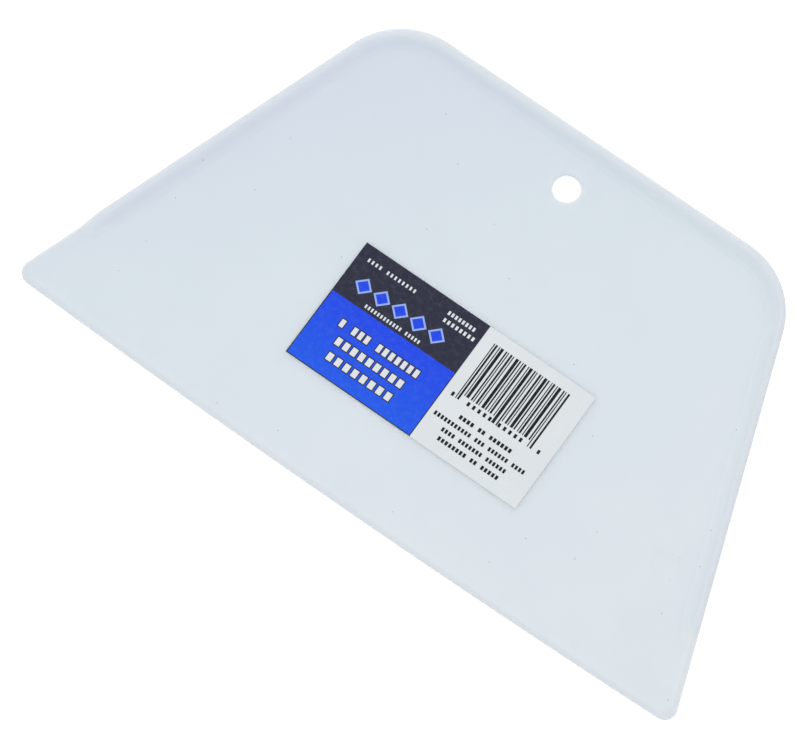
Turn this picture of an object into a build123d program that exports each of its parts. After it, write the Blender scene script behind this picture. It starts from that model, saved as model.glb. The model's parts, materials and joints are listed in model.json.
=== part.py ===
from build123d import *
import os
from math import cos, radians, sin, tan

os.makedirs("parts", exist_ok=True)

# A flat trapezoidal smoothing blade with a raised rim on three sides, and its printed label.
# X runs along the working edge, Y from the working edge to the hand edge, Z up out of the flat back.
# The origin is on the back, in the middle of the outline's length and width. Millimetres.

# Outline of the blade
EDGE_LENGTH = 203.2          # working edge between its corner rounds: the nominal 8 in
EDGE_CROWN = 1.7             # how far the middle of the working edge stands out past its ends
EDGE_CORNER_RADIUS = 3.3
SIDE_ANGLE = radians(70.6)   # between the working edge and a slanted side
PLATE_LENGTH = 118.7         # from the ends of the working edge to the hand edge
HAND_CORNER_RADIUS = 22.0

# Heights above the back, and the rim's cross-section
PLATE_TOP = 1.5
RIM_TOP = 3.8
RIM_LAND = 1.4               # level top of the rim, up to where its inner slope starts
RIM_SLOPE = radians(40)      # the inner slope, from level
RIM_INNER_ROUND = 1.5
RIM_FOOT_RADIUS = 4.0
RIM_START = 20.5             # how far from the ends of the working edge the rim starts to rise
RAMP_LENGTH = 5.0            # stretch over which it rises
RAMP_RADIUS = 8.0

# Rounded edges
FRONT_ROUND = 0.45
BACK_ROUND = 0.3
HOLE_ROUND = 0.3

# Hanging hole, and the mark of an ejector pin
HOLE_RADIUS = 3.9
HOLE_FROM_HAND_EDGE = 14.6
PIN_MARK_RADIUS = 3.8
PIN_MARK_DEPTH = 0.08
PIN_MARK_PLACE = (80.4, -24.3)

# Label
LABEL_LENGTH = 74.0
LABEL_WIDTH = 37.0
LABEL_CENTRE = (2.55, -16.05)
ADHESIVE_THICKNESS = 0.03
FACE_THICKNESS = 0.10
INK_THICKNESS = 0.02

# Coloured part of the print, measured from the label's upper left corner
PANEL_LENGTH = 40.1
DIVIDE = 16.0                # where the dark band ends and the blue band starts
KEYLINE = 0.3                # dark line round the blue band and round the white marks on it

# Rows of plain blocks that stand for lines of print, one block for each character:
# middle of the row across, its top, a block's width and height, the pitch, and the blocks in each group
CODE_ROW = (10.75, 3.2, 0.57, 1.1, 1.23, (4, 8))
PROMISE_ROWS = (
    (33.1, 2.75, 0.67, 1.2, 1.13, (8,)),
    (33.8, 5.05, 0.71, 1.2, 1.3, (8,)),
)
TRADE_ROW = (18.6, 14.05, 0.53, 1.1, 1.0, (12, 5))
TITLE_ROWS = (
    (19.7, 20.9, 1.3, 2.3, 1.99, (1, 3, 7)),
    (19.8, 25.6, 1.6, 2.3, 2.48, (9,)),
    (19.8, 30.3, 1.65, 2.3, 2.68, (8,)),
)
ADDRESS_ROWS = (
    (56.0, 24.4, 0.82, 1.2, 1.21, (4, 2, 6)),
    (56.0, 27.15, 0.68, 1.2, 1.08, (11, 3, 6, 4)),
    (56.0, 29.8, 0.7, 1.2, 1.09, (4, 7, 6)),
    (56.0, 32.4, 0.76, 1.2, 1.15, (8, 2, 5)),
)

# Row of outlined diamonds on the dark band
DIAMOND_ROW_CENTRE = (18.2, 10.5)
DIAMOND_COUNT = 5
DIAMOND_PITCH = 5.9
DIAMOND_WIDTH = 5.4
DIAMOND_HEIGHT = 5.2
DIAMOND_LINE = 0.5

# Pattern of upright bars, and the row of blocks under it
BARS_START = 43.7
BARS_TOP = 3.25
BARS_BOTTOM = 19.6
GUARD_BOTTOM = 21.4
BAR_WIDTHS = (0.28, 0.56, 0.28, 0.84, 0.42)
BAR_GAPS = (0.3, 0.52, 0.32, 0.66)
BAR_COUNT = 27
GUARD_BARS = (0, 1, 13, 14, 25, 26)
COUNT_WIDTH = 0.78
COUNT_HEIGHT = 1.2
COUNT_TOP = 20.3
COUNT_PITCH = 1.72
COUNT_GROUPS = ((42.3, 1), (47.3, 5), (57.2, 5), (69.8, 1))

# Worked out from the dimensions above
CORNER_RUN = EDGE_CORNER_RADIUS / tan(SIDE_ANGLE / 2)
HALF_EDGE = EDGE_LENGTH / 2 + CORNER_RUN
CHORD_Y = -(PLATE_LENGTH - EDGE_CROWN) / 2
HAND_Y = CHORD_Y + PLATE_LENGTH
BEYOND = 10.0                # how far a cutting shape passes the blade
CREST_CLEAR = 0.01           # the recess's rounded upper edge starts this far above the rim
LEVEL = 0.01                 # a wall's normal rises less than this
MIDWAY = 0.5                 # halfway along an edge
UPRIGHT = 0.5                # an edge that rises more than this stands upright
FACE_BOTTOM = PLATE_TOP + ADHESIVE_THICKNESS
INK_BOTTOM = FACE_BOTTOM + FACE_THICKNESS


def three_sides(inset):
    """The slanted sides and the hand edge, moved inwards and run on past the working edge."""
    low = CHORD_Y - BEYOND
    high = HAND_Y - inset
    points = []
    for side, y in ((-1, low), (-1, high), (1, high), (1, low)):
        half_width = HALF_EDGE - (y - CHORD_Y) / tan(SIDE_ANGLE) - inset / sin(SIDE_ANGLE)
        points.append((side * half_width, y))
    return FilletPolyline(*points, radius=HAND_CORNER_RADIUS - inset)


def blade_outline():
    """The blade from the front, with its crowned working edge and four rounded corners."""
    left = (-HALF_EDGE, CHORD_Y)
    right = (HALF_EDGE, CHORD_Y)
    half_hand = HALF_EDGE - PLATE_LENGTH / tan(SIDE_ANGLE)
    edge = ThreePointArc(left, (0, CHORD_Y - EDGE_CROWN), right)
    sides = Polyline(right, (half_hand, HAND_Y), (-half_hand, HAND_Y), left)
    outline = make_face([edge, sides])
    outline = fillet(outline.vertices().sort_by(Axis.Y)[:2], EDGE_CORNER_RADIUS)
    return fillet(outline.vertices().sort_by(Axis.Y)[-2:], HAND_CORNER_RADIUS)


def rim_recess():
    """The shallow recess that the rim surrounds, open towards the working edge."""
    crest = RIM_TOP + CREST_CLEAR
    slope_foot = RIM_LAND + (crest - PLATE_TOP) / tan(RIM_SLOPE)
    inner = slope_foot + RIM_FOOT_RADIUS
    top = crest + BEYOND
    path = three_sides(0)
    forward = path % 0
    inward = Vector(forward.Y, -forward.X, 0)
    across = Plane(origin=path @ 0, x_dir=inward, z_dir=-forward)
    surface = FilletPolyline(
        (-RIM_LAND, crest),
        (RIM_LAND, crest),
        (slope_foot, PLATE_TOP),
        (inner, PLATE_TOP),
        radius=[RIM_INNER_ROUND, RIM_FOOT_RADIUS],
    )
    rest = Polyline((inner, PLATE_TOP), (inner, top), (-RIM_LAND, top), (-RIM_LAND, crest))
    beside_rim = sweep(across * make_face([surface, rest]), path=path)

    middle_path = three_sides(inner - RIM_LAND)
    middle = make_face([middle_path, Line(middle_path @ 1, middle_path @ 0)])
    return beside_rim + Pos(0, 0, PLATE_TOP) * extrude(middle, top - PLATE_TOP)


def side_profile():
    """The blade's outline from the side: level plate, ramp up to the rim, level rim."""
    start = CHORD_Y - BEYOND
    end = HAND_Y + BEYOND
    ramp_start = CHORD_Y + RIM_START
    surface = FilletPolyline(
        (start, PLATE_TOP),
        (ramp_start, PLATE_TOP),
        (ramp_start + RAMP_LENGTH, RIM_TOP),
        (end, RIM_TOP),
        radius=RAMP_RADIUS,
    )
    rest = Polyline((end, RIM_TOP), (end, -BEYOND), (start, -BEYOND), (start, PLATE_TOP))
    return extrude(Plane.YZ * make_face([surface, rest]), EDGE_LENGTH, both=True)


def make_blade():
    """The one moulding: plate, rim, working edge, hanging hole and ejector pin mark."""
    blade = extrude(blade_outline(), RIM_TOP + BEYOND) & side_profile()
    blade -= rim_recess()
    walls = blade.faces().filter_by(lambda face: abs(face.normal_at().Z) < LEVEL)
    rims = walls.edges().filter_by(lambda edge: abs((edge % MIDWAY).Z) < UPRIGHT)
    blade = fillet(rims.filter_by(lambda edge: edge.center().Z > BACK_ROUND), FRONT_ROUND)
    blade = fillet(blade.faces().sort_by(Axis.Z)[0].edges(), BACK_ROUND)

    hole = Pos(0, HAND_Y - HOLE_FROM_HAND_EDGE, 0) * Cylinder(HOLE_RADIUS, BEYOND)
    blade -= hole
    hole_edges = blade.edges().filter_by(GeomType.CIRCLE).filter_by(lambda edge: edge.radius == HOLE_RADIUS)
    blade = fillet(hole_edges, HOLE_ROUND)
    mark = Pos(*PIN_MARK_PLACE, PLATE_TOP) * Cylinder(PIN_MARK_RADIUS, 2 * PIN_MARK_DEPTH)
    return blade - mark


def on_label(across, down):
    """The place of a point given from the label's upper left corner."""
    left = LABEL_CENTRE[0] - LABEL_LENGTH / 2
    top = LABEL_CENTRE[1] + LABEL_WIDTH / 2
    return Pos(left + across, top - down)


def block(across, down, width, height):
    """A rectangle on the label, from its upper left corner."""
    return on_label(across + width / 2, down + height / 2) * Rectangle(width, height)


def block_rows(rows, grown=0.0):
    """Rows of blocks, each block grown on all sides. An empty place parts one group from the next."""
    blocks = []
    for middle, top, width, height, pitch, groups in rows:
        places = sum(groups) + len(groups) - 1
        across = middle - (places - 1) * pitch / 2 - width / 2
        for count in groups:
            for number in range(count):
                left = across + number * pitch - grown
                blocks.append(block(left, top - grown, width + 2 * grown, height + 2 * grown))
            across += (count + 1) * pitch
    return Sketch() + blocks


def diamonds(shrunk=0.0):
    """The row of diamonds, each smaller by the same width all round."""
    half_width = DIAMOND_WIDTH / 2
    half_height = DIAMOND_HEIGHT / 2
    side = (half_width**2 + half_height**2) ** 0.5
    scale = 1 - shrunk * side / (half_width * half_height)
    row = Sketch()
    for number in range(DIAMOND_COUNT):
        across = DIAMOND_ROW_CENTRE[0] + (number - (DIAMOND_COUNT - 1) / 2) * DIAMOND_PITCH
        tips = [
            (half_width * scale, 0),
            (0, half_height * scale),
            (-half_width * scale, 0),
            (0, -half_height * scale),
        ]
        row += on_label(across, DIAMOND_ROW_CENTRE[1]) * make_face(Polyline(*tips, close=True))
    return row


def blue_field():
    """The inside of the blue band's dark frame."""
    return block(KEYLINE, DIVIDE, PANEL_LENGTH - 2 * KEYLINE, LABEL_WIDTH - DIVIDE - KEYLINE)


def dark_print():
    """The dark band with its marks left open, and the dark lines round the blue band and its marks."""
    band = block(0, 0, PANEL_LENGTH, DIVIDE)
    band -= block_rows((CODE_ROW, TRADE_ROW) + PROMISE_ROWS)
    band -= diamonds()
    frame = block(0, DIVIDE, PANEL_LENGTH, LABEL_WIDTH - DIVIDE) - blue_field()
    mark_lines = block_rows(TITLE_ROWS, KEYLINE) - block_rows(TITLE_ROWS)
    return band + frame + mark_lines


def blue_print():
    """The blue band with its marks left open, and the insides of the diamonds."""
    return blue_field() - block_rows(TITLE_ROWS, KEYLINE) + diamonds(DIAMOND_LINE)


def light_blue_print():
    """The lines of the diamonds."""
    return diamonds() - diamonds(DIAMOND_LINE)


def black_print():
    """The bar pattern, the blocks under it, and the rows below them."""
    bars = []
    across = BARS_START
    for number in range(BAR_COUNT):
        width = BAR_WIDTHS[number % len(BAR_WIDTHS)]
        bottom = GUARD_BOTTOM if number in GUARD_BARS else BARS_BOTTOM
        bars.append(block(across, BARS_TOP, width, bottom - BARS_TOP))
        across += width + BAR_GAPS[number % len(BAR_GAPS)]
    for start, count in COUNT_GROUPS:
        for number in range(count):
            bars.append(block(start + number * COUNT_PITCH, COUNT_TOP, COUNT_WIDTH, COUNT_HEIGHT))
    return Sketch() + bars + block_rows(ADDRESS_ROWS)


def layer(area, bottom, thickness):
    """A flat layer lying on the one below it."""
    return Pos(0, 0, bottom) * extrude(area, thickness)


def make_parts():
    """Every node's name and solid."""
    label = block(0, 0, LABEL_LENGTH, LABEL_WIDTH)
    return {
        "blade": make_blade(),
        "label_adhesive": layer(label, PLATE_TOP, ADHESIVE_THICKNESS),
        "label_face": layer(label, FACE_BOTTOM, FACE_THICKNESS),
        "print_dark": layer(dark_print(), INK_BOTTOM, INK_THICKNESS),
        "print_blue": layer(blue_print(), INK_BOTTOM, INK_THICKNESS),
        "print_light_blue": layer(light_blue_print(), INK_BOTTOM, INK_THICKNESS),
        "print_black": layer(black_print(), INK_BOTTOM, INK_THICKNESS),
    }


for node, shape in make_parts().items():
    export_step(shape, f"parts/{node}.step")
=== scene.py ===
"""Looks of the flat smoothing blade: its moulded plate, its printed label, and a plain pale studio."""
import json
from math import atan2, cos, pi, radians, sin, sqrt, tan

import bpy
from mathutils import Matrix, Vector


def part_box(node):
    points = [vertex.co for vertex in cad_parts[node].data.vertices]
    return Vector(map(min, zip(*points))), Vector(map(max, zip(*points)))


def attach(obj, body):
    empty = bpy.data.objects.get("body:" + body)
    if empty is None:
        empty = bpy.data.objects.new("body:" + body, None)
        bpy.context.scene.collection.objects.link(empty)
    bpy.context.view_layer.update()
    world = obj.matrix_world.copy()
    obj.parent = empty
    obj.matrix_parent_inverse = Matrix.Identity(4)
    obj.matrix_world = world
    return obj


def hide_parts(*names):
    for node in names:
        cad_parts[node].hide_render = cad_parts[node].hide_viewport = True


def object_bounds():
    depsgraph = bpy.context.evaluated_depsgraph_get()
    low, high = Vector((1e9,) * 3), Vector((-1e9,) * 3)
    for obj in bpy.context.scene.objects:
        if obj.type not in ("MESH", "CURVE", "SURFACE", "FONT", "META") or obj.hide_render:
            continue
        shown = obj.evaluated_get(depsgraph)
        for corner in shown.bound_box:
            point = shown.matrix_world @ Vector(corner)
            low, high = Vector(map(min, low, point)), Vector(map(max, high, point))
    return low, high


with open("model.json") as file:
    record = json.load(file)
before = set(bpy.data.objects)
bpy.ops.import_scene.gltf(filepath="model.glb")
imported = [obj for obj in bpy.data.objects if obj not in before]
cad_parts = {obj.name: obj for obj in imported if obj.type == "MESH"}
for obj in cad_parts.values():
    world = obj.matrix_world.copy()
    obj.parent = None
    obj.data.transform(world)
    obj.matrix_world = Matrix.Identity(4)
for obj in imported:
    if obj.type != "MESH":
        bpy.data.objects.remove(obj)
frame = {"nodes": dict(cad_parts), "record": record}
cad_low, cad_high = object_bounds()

MM = 0.001

# Camera: nearly overhead, with the point it looks at
CAMERA_AZIMUTH = radians(35.45)
CAMERA_ELEVATION = radians(73.76)
CAMERA_DISTANCE = 1.4459
CAMERA_LENS = 246.65
CAMERA_SENSOR = 36.0
CAMERA_AIM = Vector((-6.75, -21.41, 0.0)) * MM

# Studio
FLOOR_SIZE = 6.0
FLOOR_GAP = 0.02 * MM
FLOOR_MOTTLE = 0.4
FLOOR_GLOW = 0.35
KEY_AZIMUTH = CAMERA_AZIMUTH + pi
KEY_ELEVATION = radians(60)
KEY_DISTANCE = 1.6
KEY_SIZE = 1.5
KEY_POWER = 5.0
WORLD_STRENGTH = 0.86

# Blade: the dimensions of its CAD solid
EDGE_LENGTH = 203.2 * MM
EDGE_CORNER_RADIUS = 3.3 * MM
SIDE_ANGLE = radians(70.6)
PLATE_LENGTH = 118.7 * MM
HAND_CORNER_RADIUS = 22.0 * MM
PLATE_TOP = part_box("label_adhesive")[0].z
RIM_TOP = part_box("blade")[1].z
RIM_LAND = 1.4 * MM
RIM_SLOPE = radians(40)
RIM_INNER_ROUND = 1.5 * MM
RIM_FOOT_RADIUS = 4.0 * MM
RIM_START = 20.5 * MM
RAMP_LENGTH = 5.0 * MM
RAMP_EASE = 1.6 * MM
FRONT_ROUND = 0.45 * MM
BACK_ROUND = 0.3 * MM
HOLE_ROUND = 0.3 * MM
PIN_MARK_RADIUS = 3.8 * MM
PIN_MARK_DEPTH = 0.08 * MM
PIN_MARK_PLACE = Vector((80.4, -24.3)) * MM
HOLE = next(mount for mount in frame["record"]["mounts"] if mount["name"] == "hanging_hole")
HOLE_PLACE = Vector(HOLE["pos_m"][:2])
HOLE_RADIUS = HOLE["dims"]["r_mm"] * MM

# Label: the dark band at its top, and the blue band from there to its foot
DARK_BAND_HEIGHT = 16.0 * MM
BLUE_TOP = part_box("label_face")[1].y - DARK_BAND_HEIGHT
BLUE_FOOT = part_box("label_face")[0].y

# Worked out from the dimensions above: the outline
HAND_Y = cad_high.y
CHORD_Y = HAND_Y - PLATE_LENGTH
EDGE_CROWN = CHORD_Y - cad_low.y
EDGE_CORNER = Vector((EDGE_LENGTH / 2 + EDGE_CORNER_RADIUS / tan(SIDE_ANGLE / 2), CHORD_Y))
SIDE_OUT = Vector((sin(SIDE_ANGLE), cos(SIDE_ANGLE)))
SIDE_UP = Vector((-cos(SIDE_ANGLE), sin(SIDE_ANGLE)))
CROWN_RADIUS = (EDGE_CORNER.x**2 + EDGE_CROWN**2) / (2 * EDGE_CROWN)
CROWN_CENTRE = Vector((0, CHORD_Y - EDGE_CROWN + CROWN_RADIUS))
SIDE_PLACE = EDGE_CORNER.dot(SIDE_OUT)
RAMP_LOW = CHORD_Y + RIM_START - RAMP_EASE
RAMP_HIGH = CHORD_Y + RIM_START + RAMP_LENGTH + RAMP_EASE

# Worked out from the dimensions above: the rim's cross-section, as distances in from the outline
CREST_START = RIM_LAND - RIM_INNER_ROUND * tan(RIM_SLOPE / 2)
CREST_END = CREST_START + RIM_INNER_ROUND * sin(RIM_SLOPE)
SLOPE_FOOT = RIM_LAND + (RIM_TOP - PLATE_TOP) / tan(RIM_SLOPE)
FOOT_END = SLOPE_FOOT + RIM_FOOT_RADIUS * tan(RIM_SLOPE / 2)
FOOT_START = FOOT_END - RIM_FOOT_RADIUS * sin(RIM_SLOPE)

# Mesh of the blade: the number of steps along each stretch of half the outline, and of rings inside it
EDGE_STEPS = 72
EDGE_CORNER_STEPS = 12
PLAIN_SIDE_STEPS = 12
RAMP_STEPS = 16
RIM_SIDE_STEPS = 44
HAND_CORNER_STEPS = 26
HAND_STEPS = 60
RIM_RINGS = 18
RING_SPREAD = 1.25           # above 1, the rings lie closer together near the outline
BACK_RINGS = 4
INNER_INSET = 7.0 * MM       # where the rim's rings end and the plate's grid starts
INNER_CORNER_RADIUS = 1.0 * MM
ROUND_STEPS = 4
PATCH_REACH = 1.6            # a round feature takes over the grid within this many of its radii
PATCH_RINGS = 4
EDGE_NEARNESS = "edge_nearness"
EDGE_BAND = 2.0 * MM         # how far in from the outline the painted edge shade reaches
HOLE_NEARNESS = 0.5          # the hole's edge gets half as much painted shade as the outline

# Plastic: painted light, a gradient from darker at the upper left to paler at the lower right, in two
# stretches
PAINTED_LIGHT_WAY = (1, -1, 0)
PAINTED_LIGHT_START = -95 * MM
PAINTED_LIGHT_MIDDLE = -30 * MM
PAINTED_LIGHT_END = 110 * MM
RIM_SHADE_EASE = 0.3 * MM     # how far above the plate the rim's painted shade starts, and below its top is full
# how far in from the left side the painted shade reaches
LEFT_SHADE_WIDTH = 6 * MM
FOOT_LIGHT_START = 0.01 * MM  # this and the next two are heights above the plate, for the painted light on the rim's inner slope
FOOT_LIGHT_FULL = 0.1 * MM
SLOPE_LIGHT_FULL = 0.5 * MM

# Noise: its values mostly lie between these two
NOISE_LOW = 0.3
NOISE_HIGH = 0.7


def linear(red, green, blue):
    """A colour given as it looks on screen, from 0 to 255, as the linear colour that shaders use."""
    shares = [channel / 255 for channel in (red, green, blue)]
    values = [share / 12.92 if share <= 0.04045 else ((share + 0.055) / 1.055) ** 2.4 for share in shares]
    return (*values, 1.0)


def direction(azimuth, elevation):
    """The way from the object to something at that azimuth and elevation."""
    level = cos(elevation)
    return Vector((sin(azimuth) * level, -cos(azimuth) * level, sin(elevation)))


# Blade mesh


def line(start, end, steps):
    """Points from the start up to, but without, the end."""
    return [start.lerp(end, number / steps) for number in range(steps)]


def arc(centre, radius, start, end, steps):
    """Points on an arc from one angle up to, but without, the other."""
    turns = [start + (end - start) * number / steps for number in range(steps)]
    return [centre + Vector((cos(turn), sin(turn))) * radius for turn in turns]


def edge_corner_centre(depth):
    """The point as far from the crowned working edge as from the slanted side."""
    start = EDGE_CORNER - SIDE_OUT * depth
    from_centre = start - CROWN_CENTRE
    along = from_centre.dot(SIDE_UP)
    reach = (CROWN_RADIUS - depth) ** 2 - from_centre.length_squared + along**2
    return start + SIDE_UP * (-sqrt(reach) - along)


def on_side(y, inset):
    """The point at that height up the slanted side, moved inwards."""
    start = EDGE_CORNER - SIDE_OUT * inset
    return start + SIDE_UP * ((y - start.y) / SIDE_UP.y)


def half_outline(inset, corner_radius):
    """The right half of the outline, from the middle of the working edge to the middle of the hand edge."""
    corner = edge_corner_centre(inset + corner_radius)
    from_crown = corner - CROWN_CENTRE
    crown_turn = atan2(from_crown.y, from_crown.x)
    side_turn = atan2(SIDE_OUT.y, SIDE_OUT.x)
    side_start = corner + SIDE_OUT * corner_radius
    ramp_start = on_side(RAMP_LOW, inset)
    ramp_end = on_side(RAMP_HIGH, inset)
    hand_corner = on_side(HAND_Y - HAND_CORNER_RADIUS, HAND_CORNER_RADIUS)
    hand_radius = HAND_CORNER_RADIUS - inset
    side_end = hand_corner + SIDE_OUT * hand_radius
    hand_start = hand_corner + Vector((0, hand_radius))
    hand_middle = Vector((0, HAND_Y - inset))
    points = arc(CROWN_CENTRE, CROWN_RADIUS - inset, -pi / 2, crown_turn, EDGE_STEPS)
    points += arc(corner, corner_radius, crown_turn, side_turn, EDGE_CORNER_STEPS)
    points += line(side_start, ramp_start, PLAIN_SIDE_STEPS)
    points += line(ramp_start, ramp_end, RAMP_STEPS)
    points += line(ramp_end, side_end, RIM_SIDE_STEPS)
    points += arc(hand_corner, hand_radius, side_turn, pi / 2, HAND_CORNER_STEPS)
    points += line(hand_start, hand_middle, HAND_STEPS)
    return points + [hand_middle]


def whole_outline(inset, corner_radius):
    """The closed outline, moved inwards, with the left half a mirror of the right."""
    right = half_outline(inset, corner_radius)
    left = [Vector((-point.x, point.y)) for point in right[-2:0:-1]]
    return right + left


OUTER = whole_outline(0.0, EDGE_CORNER_RADIUS)
INNER = whole_outline(INNER_INSET, INNER_CORNER_RADIUS)
TOP_MIDDLE = len(OUTER) // 2
GRID_HALF_COLUMNS = EDGE_STEPS + EDGE_CORNER_STEPS // 2
GRID_ROWS = TOP_MIDDLE - 2 * GRID_HALF_COLUMNS


def ring(inset):
    """The outline moved inwards, with each point on its way to the plate's grid."""
    share = inset / INNER_INSET
    return [outer.lerp(inner, share) for outer, inner in zip(OUTER, INNER)]


def rim_share(y):
    """How much of the rim's height there is at that place: none near the working edge, all of it above."""
    run = min(max((y - RAMP_LOW) / (RAMP_HIGH - RAMP_LOW), 0.0), 1.0)
    return run * run * (3 - 2 * run)


def rim_section(inset):
    """The height of the full rim's cross-section at that distance in from the outline."""
    if inset <= CREST_START:
        return RIM_TOP
    if inset <= CREST_END:
        return RIM_TOP - RIM_INNER_ROUND + sqrt(RIM_INNER_ROUND**2 - (inset - CREST_START) ** 2)
    if inset <= FOOT_START:
        return RIM_TOP - (inset - RIM_LAND) * tan(RIM_SLOPE)
    if inset < FOOT_END:
        return PLATE_TOP + RIM_FOOT_RADIUS - sqrt(RIM_FOOT_RADIUS**2 - (FOOT_END - inset) ** 2)
    return PLATE_TOP


def front_height(inset, y):
    """The height of the blade's front at that distance in from the outline."""
    return PLATE_TOP + (rim_section(inset) - PLATE_TOP) * rim_share(y)


def nearest(values, target):
    """The number of the value that lies nearest to the target."""
    return min(range(len(values)), key=lambda number: abs(values[number] - target))


class Shell:
    """A mesh in the making. Each point has its nearness to an edge, from 0 to 1."""

    def __init__(self):
        self.points = []
        self.edge_nearness = []
        self.faces = []

    def loop(self, places, heights, inset):
        """New points that lie that far in from the outline. Gives their numbers."""
        first = len(self.points)
        self.points += [(place.x, place.y, height) for place, height in zip(places, heights)]
        self.edge_nearness += [max(1 - inset / EDGE_BAND, 0.0)] * len(places)
        return list(range(first, len(self.points)))

    def level_loop(self, places, height, inset=INNER_INSET):
        """New points, all at one height. Gives their numbers."""
        return self.loop(places, [height] * len(places), inset)

    def place(self, number):
        """Where a point is, seen from the front."""
        return Vector(self.points[number][:2])

    def band(self, outer, inner):
        """Four-sided faces between two closed loops."""
        for number in range(len(outer)):
            after = (number + 1) % len(outer)
            self.faces.append((outer[number], outer[after], inner[after], inner[number]))

    def bands(self, loops):
        """Faces between each closed loop and the next."""
        for outer, inner in zip(loops, loops[1:]):
            self.band(outer, inner)

    def grid(self, boundary, height):
        """Numbers of a grid of points, by row and column, spread evenly inside a closed loop."""
        half = GRID_HALF_COLUMNS
        bottom = [boundary[column] for column in range(-half, half + 1)]
        top = [boundary[TOP_MIDDLE - column] for column in range(-half, half + 1)]
        right = [boundary[half + row] for row in range(GRID_ROWS + 1)]
        left = [boundary[-half - row] for row in range(GRID_ROWS + 1)]
        rows = [bottom]
        for row in range(1, GRID_ROWS):
            rows.append([left[row]])
            for column in range(1, 2 * half):
                place = self.inside(bottom, top, left, right, column, row)
                rows[-1] += self.level_loop([place], height)
            rows[-1].append(right[row])
        return rows + [top]

    def inside(self, bottom, top, left, right, column, row):
        """One grid point, from the four sides of the grid."""
        low, high = self.place(left[0]), self.place(left[-1])
        up = (self.place(left[row]).y - low.y) / (high.y - low.y)
        across = column / (2 * GRID_HALF_COLUMNS)
        between_ends = self.place(bottom[column]).lerp(self.place(top[column]), up)
        between_sides = self.place(left[row]).lerp(self.place(right[row]), across)
        low_chord = self.place(bottom[0]).lerp(self.place(bottom[-1]), across)
        high_chord = self.place(top[0]).lerp(self.place(top[-1]), across)
        return between_ends + between_sides - low_chord.lerp(high_chord, up)

    def fill(self, rows, features, height):
        """Faces of a grid, with a round opening for each feature. Gives the openings' loops."""
        blocks = [self.block_round(rows, centre, radius) for centre, radius in features]
        for row in range(len(rows) - 1):
            for column in range(len(rows[0]) - 1):
                if any(low <= row < high and left <= column < right for low, high, left, right in blocks):
                    continue
                corners = (rows[row][column], rows[row][column + 1])
                self.faces.append((*corners, rows[row + 1][column + 1], rows[row + 1][column]))
        openings = []
        for (low, high, left, right), (centre, radius) in zip(blocks, features):
            edge = rows[low][left:right]
            edge += [rows[row][right] for row in range(low, high)]
            edge += rows[high][right:left:-1]
            edge += [rows[row][left] for row in range(high, low, -1)]
            openings.append(self.open_round(edge, centre, radius, height))
        return openings

    def block_round(self, rows, centre, radius):
        """The rows and columns of the grid that a round feature takes over."""
        reach = radius * PATCH_REACH
        middle_column = len(rows[0]) // 2
        near_row = nearest([self.place(row[middle_column]).y for row in rows], centre.y)
        xs = [self.place(number).x for number in rows[near_row]]
        near_column = nearest(xs, centre.x)
        ys = [self.place(row[near_column]).y for row in rows]
        left = max(column for column, x in enumerate(xs) if x <= centre.x - reach)
        right = min(column for column, x in enumerate(xs) if x >= centre.x + reach)
        low = max(row for row, y in enumerate(ys) if y <= centre.y - reach)
        high = min(row for row, y in enumerate(ys) if y >= centre.y + reach)
        return low, high, left, right

    def open_round(self, edge, centre, radius, height):
        """Rings that turn the edge of a block into a circle. Gives the circle's loop."""
        starts = [self.place(number) for number in edge]
        ends = [centre + (start - centre).normalized() * radius for start in starts]
        loops = [edge]
        for number in range(1, PATCH_RINGS + 1):
            share = number / PATCH_RINGS
            places = [start.lerp(end, share) for start, end in zip(starts, ends)]
            loops.append(self.level_loop(places, height))
        self.bands(loops)
        return loops[-1]

    def shrink(self, loop, centre, radius, height):
        """A circle's loop again, with another radius and height."""
        places = [centre + (self.place(number) - centre).normalized() * radius for number in loop]
        return self.level_loop(places, height)


def quarter(steps):
    """For each step round a quarter turn: how far in and how far up it has come, from 0 to 1."""
    turns = [pi / 2 * number / steps for number in range(steps + 1)]
    return [(1 - cos(turn), sin(turn)) for turn in turns]


def add_front(shell):
    """The front's rounded edge, rim, plate and pin mark. Gives the loops of its outline and of the hole."""
    wall_top = [front_height(0, point.y) for point in OUTER]
    loops = []
    for inward, upward in quarter(ROUND_STEPS):
        inset = FRONT_ROUND * inward
        heights = [height - FRONT_ROUND * (1 - upward) for height in wall_top]
        loops.append(shell.loop(ring(inset), heights, inset))
    for number in range(1, RIM_RINGS):
        inset = FRONT_ROUND + (INNER_INSET - FRONT_ROUND) * (number / RIM_RINGS) ** RING_SPREAD
        places = ring(inset)
        loops.append(shell.loop(places, [front_height(inset, place.y) for place in places], inset))
    loops.append(shell.level_loop(ring(INNER_INSET), PLATE_TOP))
    shell.bands(loops)
    features = [(HOLE_PLACE, HOLE_RADIUS + HOLE_ROUND), (PIN_MARK_PLACE, PIN_MARK_RADIUS)]
    hole, mark = shell.fill(shell.grid(loops[-1], PLATE_TOP), features, PLATE_TOP)
    add_pin_mark(shell, mark)
    return loops[0], hole


def add_pin_mark(shell, edge):
    """The shallow round mark of an ejector pin, closed by a fan."""
    loops = [edge]
    for inward, upward in quarter(ROUND_STEPS)[1:]:
        radius = PIN_MARK_RADIUS - PIN_MARK_DEPTH * inward
        loops.append(shell.shrink(edge, PIN_MARK_PLACE, radius, PLATE_TOP - PIN_MARK_DEPTH * upward))
    floor = PLATE_TOP - PIN_MARK_DEPTH
    for number in range(PATCH_RINGS - 1, 0, -1):
        radius = (PIN_MARK_RADIUS - PIN_MARK_DEPTH) * number / PATCH_RINGS
        loops.append(shell.shrink(edge, PIN_MARK_PLACE, radius, floor))
    shell.bands(loops)
    middle = shell.level_loop([PIN_MARK_PLACE], floor)[0]
    last = loops[-1]
    for number in range(len(last)):
        shell.faces.append((last[number], last[(number + 1) % len(last)], middle))


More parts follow.
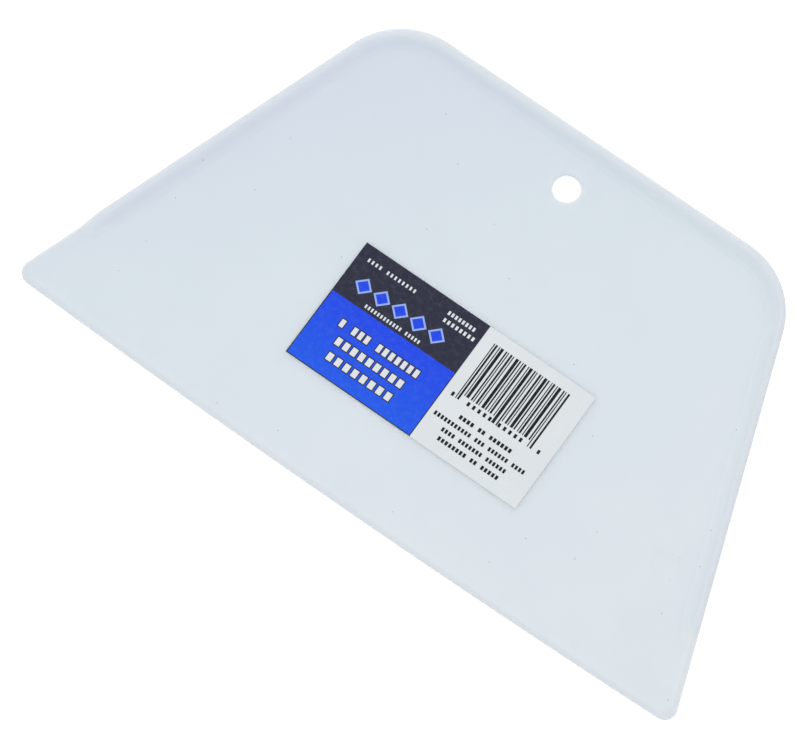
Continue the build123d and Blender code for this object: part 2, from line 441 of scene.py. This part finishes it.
def add_back(shell, outline):
    """The wall under the front's outline, and the back. Gives the loop of the hole."""
    first_face = len(shell.faces)
    loops = [outline]
    for inward, upward in quarter(ROUND_STEPS):
        inset = BACK_ROUND * inward
        loops.append(shell.level_loop(ring(inset), BACK_ROUND * (1 - upward), inset))
    for number in range(1, BACK_RINGS + 1):
        inset = BACK_ROUND + (INNER_INSET - BACK_ROUND) * number / BACK_RINGS
        loops.append(shell.level_loop(ring(inset), 0.0, inset))
    shell.bands(loops)
    hole = shell.fill(shell.grid(loops[-1], 0.0), [(HOLE_PLACE, HOLE_RADIUS + HOLE_ROUND)], 0.0)[0]
    shell.faces[first_face:] = [face[::-1] for face in shell.faces[first_face:]]
    return hole


def add_hole_wall(shell, hole_top, hole_back):
    """The hole's wall, rounded at both ends."""
    loops = [hole_top]
    for inward, upward in quarter(ROUND_STEPS)[-2::-1]:
        radius = HOLE_RADIUS + HOLE_ROUND * inward
        loops.append(shell.shrink(hole_top, HOLE_PLACE, radius, PLATE_TOP - HOLE_ROUND * (1 - upward)))
    for inward, upward in quarter(ROUND_STEPS)[:-1]:
        radius = HOLE_RADIUS + HOLE_ROUND * inward
        loops.append(shell.shrink(hole_top, HOLE_PLACE, radius, HOLE_ROUND * (1 - upward)))
    shell.bands(loops + [hole_back])
    # The hole's edges carry part of the painted edge shade.
    for number in hole_top + hole_back:
        shell.edge_nearness[number] = HOLE_NEARNESS


def blade_shell():
    """The blade as one closed mesh of four-sided faces, with a fan only in the pin mark."""
    shell = Shell()
    outline, hole_top = add_front(shell)
    hole_back = add_back(shell, outline)
    add_hole_wall(shell, hole_top, hole_back)
    return shell


def make_blade(plastic):
    """The blade's piece, which stands for the CAD solid."""
    shell = blade_shell()
    mesh = bpy.data.meshes.new("blade_moulding")
    mesh.from_pydata(shell.points, [], shell.faces)
    mesh.attributes.new(EDGE_NEARNESS, "FLOAT", "POINT").data.foreach_set("value", shell.edge_nearness)
    mesh.shade_smooth()
    mesh.materials.append(plastic)
    blade = bpy.data.objects.new("blade_moulding", mesh)
    bpy.context.scene.collection.objects.link(blade)
    blade.modifiers.new("flat_faces_first", "WEIGHTED_NORMAL")
    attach(blade, "root")
    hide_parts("blade")


# Materials


class Paint:
    """One procedural material, and the nodes that make it up."""

    def __init__(self, name):
        self.material = bpy.data.materials.new(name)
        self.material.use_nodes = True
        self.tree = self.material.node_tree
        self.shader = self.tree.nodes["Principled BSDF"]
        self.place = self.tree.nodes.new("ShaderNodeTexCoord").outputs["Object"]

    def put(self, socket, value):
        """Links an output to a socket, or sets the socket's value."""
        if isinstance(value, bpy.types.NodeSocket):
            self.tree.links.new(value, socket)
        else:
            socket.default_value = value

    def node(self, kind, inputs, **settings):
        """A new node with its settings, and each input either linked or given a value."""
        node = self.tree.nodes.new(kind)
        for name, value in settings.items():
            setattr(node, name, value)
        for name, value in inputs.items():
            self.put(node.inputs[name], value)
        return node

    def set(self, **values):
        """Sets inputs of the surface shader; an underscore stands for a space."""
        for name, value in values.items():
            self.put(self.shader.inputs[name.replace("_", " ")], value)

    def noise(self, size, detail=3.0, roughness=0.55, place=None):
        """Cloudy values from 0 to 1, with features of about that size in metres."""
        inputs = {"Vector": place or self.place, "Scale": 1 / size}
        inputs |= {"Detail": detail, "Roughness": roughness}
        return self.node("ShaderNodeTexNoise", inputs).outputs["Fac"]

    def span(self, value, low, high, to_low=0.0, to_high=1.0, shape="SMOOTHSTEP"):
        """The value carried from one range to another, and kept inside it."""
        inputs = {"Value": value, "From Min": low, "From Max": high, "To Min": to_low, "To Max": to_high}
        return self.node("ShaderNodeMapRange", inputs, interpolation_type=shape).outputs["Result"]

    def clouded(self, noise, to_low=0.0, to_high=1.0, shape="SMOOTHSTEP"):
        """A noise's usual range carried to another one."""
        return self.span(noise, NOISE_LOW, NOISE_HIGH, to_low, to_high, shape)

    def maths(self, operation, first, second=0.0):
        """One sum on two values."""
        return self.node("ShaderNodeMath", {0: first, 1: second}, operation=operation).outputs["Value"]

    def mix(self, share, first, second):
        """One colour turning into another as the share goes from 0 to 1."""
        inputs = {"Factor": share, 6: first, 7: second}
        return self.node("ShaderNodeMix", inputs, data_type="RGBA").outputs[2]

    def axis(self, name):
        """One coordinate of the place on the object, in metres."""
        return self.node("ShaderNodeSeparateXYZ", {"Vector": self.place}).outputs[name]

    def along(self, way):
        """How far the place on the object lies along a direction."""
        dot = self.node("ShaderNodeVectorMath", {0: self.place, 1: way}, operation="DOT_PRODUCT")
        return dot.outputs["Value"]

    def nearness(self):
        """The nearness to an edge that each point of the mesh carries."""
        return self.node("ShaderNodeAttribute", {}, attribute_name=EDGE_NEARNESS).outputs["Fac"]

    def facing_up(self):
        """How far the surface faces up: 1 when it is level, 0 when it is upright, -1 underneath."""
        normal = self.node("ShaderNodeTexCoord", {}).outputs["Normal"]
        return self.node("ShaderNodeSeparateXYZ", {"Vector": normal}).outputs["Z"]

    def turned(self, angle, stretch=1.0):
        """The place on the object, turned about Z and drawn out along one direction."""
        inputs = {"Vector": self.place, "Rotation": (0, 0, angle), "Scale": (1 / stretch, 1, 1)}
        return self.node("ShaderNodeMapping", inputs).outputs["Vector"]

    def marks(self, spacing, radius, share, angle=0.0, stretch=1.0):
        """Scattered small marks: 1 on a mark and 0 elsewhere. Only that share of the places has one."""
        inputs = {"Vector": self.turned(angle, stretch), "Scale": 1 / spacing}
        cells = self.node("ShaderNodeTexVoronoi", inputs, voronoi_dimensions="2D")
        chosen = self.node("ShaderNodeSeparateColor", {"Color": cells.outputs["Color"]}).outputs["Red"]
        spot = self.span(cells.outputs["Distance"], radius / spacing, radius / spacing / 2)
        return self.maths("MULTIPLY", spot, self.maths("LESS_THAN", chosen, share))

    def bump(self, height, depth, strength=1.0, under=None):
        """Surface relief of that depth in metres, on top of another relief."""
        inputs = {"Height": height, "Distance": depth, "Strength": strength}
        if under:
            inputs["Normal"] = under
        return self.node("ShaderNodeBump", inputs).outputs["Normal"]


def plate_colour_and_painted_light(paint):
    """The plate's colour with painted light: paler to the lower right, and a little clouded."""
    upper_left = linear(193, 203, 216)
    middle = linear(197.5, 209, 217.5)
    lower_right = linear(204.5, 214, 221)
    cloudy = linear(194, 204, 215)
    # Painted light: the plate is made paler towards the lower right.
    across = paint.along(PAINTED_LIGHT_WAY)
    to_middle = paint.span(across, PAINTED_LIGHT_START, PAINTED_LIGHT_MIDDLE, shape="LINEAR")
    from_middle = paint.span(across, PAINTED_LIGHT_MIDDLE, PAINTED_LIGHT_END, shape="LINEAR")
    colour = paint.mix(to_middle, upper_left, middle)
    colour = paint.mix(from_middle, colour, lower_right)
    cloud = paint.noise(size=34 * MM)
    return paint.mix(paint.clouded(cloud, to_high=0.25), colour, cloudy)


def rim_painted_light_and_shade(paint, plate):
    """The plate's colour with painted shade on the rim and beside the left side, and painted light on the
    rim's inner slope.
    """
    rim = linear(198, 205, 213)
    left_side_shade = linear(193, 201, 215)
    white = linear(255, 255, 255)
    height = paint.axis("Z")
    leftwards = paint.along((-SIDE_OUT.x, SIDE_OUT.y, 0))
    # Painted shade: the rim is made greyer than the plate.
    on_rim = paint.span(height, PLATE_TOP + RIM_SHADE_EASE, RIM_TOP - RIM_SHADE_EASE)
    # Painted shade: the plate is made darker and bluer beside the left side.
    beside_left = paint.span(leftwards, SIDE_PLACE - LEFT_SHADE_WIDTH, SIDE_PLACE, to_high=0.6)
    # Painted light: the rim's inner slope is made a little paler, most near its foot.
    above_foot = paint.span(height, PLATE_TOP + FOOT_LIGHT_START, PLATE_TOP + FOOT_LIGHT_FULL, to_high=0.08)
    below_crest = paint.span(height, RIM_TOP, PLATE_TOP + SLOPE_LIGHT_FULL)
    colour = paint.mix(on_rim, plate, rim)
    colour = paint.mix(beside_left, colour, left_side_shade)
    return paint.mix(paint.maths("MULTIPLY", above_foot, below_crest), colour, white)


def painted_edge_shade(paint, colour):
    """The colour with painted shade: greyer along the edges and on upright walls, where less light comes
    through.
    """
    edge = linear(178, 184, 191)
    wall = linear(174, 182, 192)
    strength = paint.span(paint.axis("Z"), PLATE_TOP, RIM_TOP, to_low=0.7, to_high=1.0)
    at_edge = paint.maths("MULTIPLY", paint.span(paint.nearness(), 0.0, 1.0), strength)
    upright = paint.span(paint.maths("ABSOLUTE", paint.facing_up()), low=0.7, high=0.25)
    return paint.mix(upright, paint.mix(at_edge, colour, edge), wall)


def blade_plastic():
    """Natural milky plastic, with specks and scratches."""
    speck = linear(90, 96, 104)
    scratch = linear(120, 128, 138)
    paint = Paint("blade_plastic")
    colour = painted_edge_shade(paint, rim_painted_light_and_shade(paint, plate_colour_and_painted_light(paint)))
    specks = paint.marks(spacing=14 * MM, radius=0.16 * MM, share=0.35)
    scratches = paint.marks(spacing=30 * MM, radius=0.1 * MM, share=0.3, angle=radians(52), stretch=16.0)
    colour = paint.mix(specks, colour, speck)
    colour = paint.mix(paint.maths("MULTIPLY", scratches, 0.35), colour, scratch)
    grain = paint.noise(size=0.4 * MM, detail=2.0)
    smudge = paint.noise(size=16 * MM, detail=4.0)
    relief = paint.bump(grain, depth=0.01 * MM, strength=0.2)
    paint.set(
        Base_Color=colour,
        Roughness=paint.clouded(smudge, to_low=0.38, to_high=0.48, shape="LINEAR"),
        Normal=paint.bump(scratches, depth=-0.02 * MM, strength=0.5, under=relief),
        Subsurface_Weight=1.0,
        Subsurface_Scale=10.0 * MM,
        Subsurface_Radius=(1.0, 1.0, 1.0),
    )
    return paint.material


def adhesive():
    """Clear glue, a little yellowed, with the small voids that it dries with."""
    clear = linear(206, 211, 212)
    yellowed = linear(196, 198, 190)
    void = linear(222, 226, 228)
    paint = Paint("adhesive")
    cloud = paint.noise(size=3 * MM)
    voids = paint.marks(spacing=1.1 * MM, radius=0.3 * MM, share=0.5)
    ripple = paint.noise(size=0.7 * MM, detail=2.0)
    paint.set(
        Base_Color=paint.mix(voids, paint.mix(paint.clouded(cloud), clear, yellowed), void),
        Roughness=paint.clouded(cloud, to_low=0.22, to_high=0.4),
        Normal=paint.bump(ripple, depth=0.01 * MM, strength=0.5),
    )
    return paint.material


def paper_fibre(paint):
    """The fine streaks of the label's paper, which also show in the relief of its print."""
    return paint.noise(size=0.35 * MM, roughness=0.6, place=paint.turned(radians(20), stretch=4.0))


def label_paper():
    """Coated white paper with a faint fibre, dusty in places."""
    duller = linear(220, 225, 229)
    brighter = linear(223, 229, 232)
    fibrous = linear(214, 219, 224)
    dusty = linear(150, 155, 162)
    paint = Paint("label_paper")
    cloud = paint.noise(size=9 * MM, detail=4.0)
    fibre = paper_fibre(paint)
    colour = paint.mix(paint.clouded(cloud), duller, brighter)
    colour = paint.mix(paint.clouded(fibre, to_high=0.3), colour, fibrous)
    dust = paint.marks(spacing=7 * MM, radius=0.12 * MM, share=0.4)
    paint.set(
        Base_Color=paint.mix(paint.maths("MULTIPLY", dust, 0.5), colour, dusty),
        Roughness=paint.clouded(cloud, to_low=0.4, to_high=0.5),
        Normal=paint.bump(fibre, depth=0.006 * MM, strength=0.4),
        Specular_IOR_Level=0.35,
    )
    return paint.material


def ink(paint, full):
    """Finishes a film of print: the paper shows through where it is thin, and it is scuffed in places."""
    paper = linear(222, 228, 231)
    thin = paint.noise(size=1.6 * MM, detail=5.0, roughness=0.65)
    pinholes = paint.marks(spacing=1.5 * MM, radius=0.06 * MM, share=0.4)
    scuffs = paint.marks(spacing=7 * MM, radius=0.08 * MM, share=0.35, angle=radians(-30), stretch=9.0)
    colour = paint.mix(paint.span(thin, low=0.4, high=0.75, to_high=0.03), full, paper)
    colour = paint.mix(paint.maths("MULTIPLY", pinholes, 0.3), colour, paper)
    colour = paint.mix(paint.maths("MULTIPLY", scuffs, 0.08), colour, paper)
    relief = paint.bump(paper_fibre(paint), depth=0.006 * MM, strength=0.35)
    paint.set(
        Base_Color=colour,
        Roughness=paint.clouded(thin, to_low=0.42, to_high=0.52),
        Normal=paint.bump(scuffs, depth=-0.01 * MM, strength=0.4, under=relief),
        Specular_IOR_Level=0.12,
    )
    return paint.material


def dark_ink():
    """The dark band and the dark lines."""
    return ink(Paint("dark_ink"), linear(43, 44, 63))


def blue_ink():
    """The bright blue band, which gets a little lighter towards the label's foot."""
    upper = linear(28, 71, 230)
    lower = linear(28, 90, 232)
    paint = Paint("blue_ink")
    down = paint.span(paint.axis("Y"), BLUE_TOP, BLUE_FOOT, shape="LINEAR")
    return ink(paint, paint.mix(down, upper, lower))


def light_blue_ink():
    """The lines of the diamonds."""
    return ink(Paint("light_blue_ink"), linear(150, 175, 236))


def black_ink():
    """The bar pattern and the rows of blocks round it."""
    return ink(Paint("black_ink"), linear(16, 16, 20))


def dress(node, material):
    """Gives a CAD node its material."""
    mesh = frame["nodes"][node].data
    mesh.materials.clear()
    mesh.materials.append(material)


# Studio


def make_floor():
    """A wide pale floor just under the blade's back."""
    bpy.ops.mesh.primitive_plane_add(size=FLOOR_SIZE, location=(0, 0, -FLOOR_GAP))
    floor = bpy.context.object
    floor.name = "floor"
    duller = linear(244, 245, 246)
    brighter = linear(250, 250, 251)
    paint = Paint("floor_paint")
    paint.set(
        Base_Color=paint.mix(paint.noise(size=FLOOR_MOTTLE), duller, brighter),
        Roughness=0.9,
        Emission_Color=(1.0, 1.0, 1.0, 1.0),
        Emission_Strength=FLOOR_GLOW,
    )
    floor.data.materials.append(paint.material)


def aim(thing, target):
    """Turns a camera or a light towards a point."""
    thing.rotation_euler = (target - thing.location).to_track_quat("-Z", "Y").to_euler()


def make_lights():
    """One large soft light above the far side, and an even white surround."""
    lamp = bpy.data.lights.new("key_light", "AREA")
    lamp.shape = "DISK"
    lamp.size = KEY_SIZE
    lamp.energy = KEY_POWER
    light = bpy.data.objects.new("key_light", lamp)
    light.location = direction(KEY_AZIMUTH, KEY_ELEVATION) * KEY_DISTANCE
    aim(light, Vector((0, 0, 0)))
    bpy.context.scene.collection.objects.link(light)

    world = bpy.data.worlds.new("surround")
    world.use_nodes = True
    background = world.node_tree.nodes["Background"]
    background.inputs["Color"].default_value = (1.0, 1.0, 1.0, 1.0)
    background.inputs["Strength"].default_value = WORLD_STRENGTH
    bpy.context.scene.world = world


def make_camera():
    """The camera, which looks down on the blade's labelled front with a long lens."""
    data = bpy.data.cameras.new("camera")
    data.lens = CAMERA_LENS
    data.sensor_width = CAMERA_SENSOR
    camera = bpy.data.objects.new("camera", data)
    camera.location = CAMERA_AIM + direction(CAMERA_AZIMUTH, CAMERA_ELEVATION) * CAMERA_DISTANCE
    aim(camera, CAMERA_AIM)
    bpy.context.scene.collection.objects.link(camera)
    bpy.context.scene.camera = camera


plastic = blade_plastic()
make_blade(plastic)
dress("blade", plastic)
dress("label_adhesive", adhesive())
dress("label_face", label_paper())
dress("print_dark", dark_ink())
dress("print_blue", blue_ink())
dress("print_light_blue", light_blue_ink())
dress("print_black", black_ink())

make_floor()
make_lights()
make_camera()
bpy.context.scene.view_settings.view_transform = "Standard"
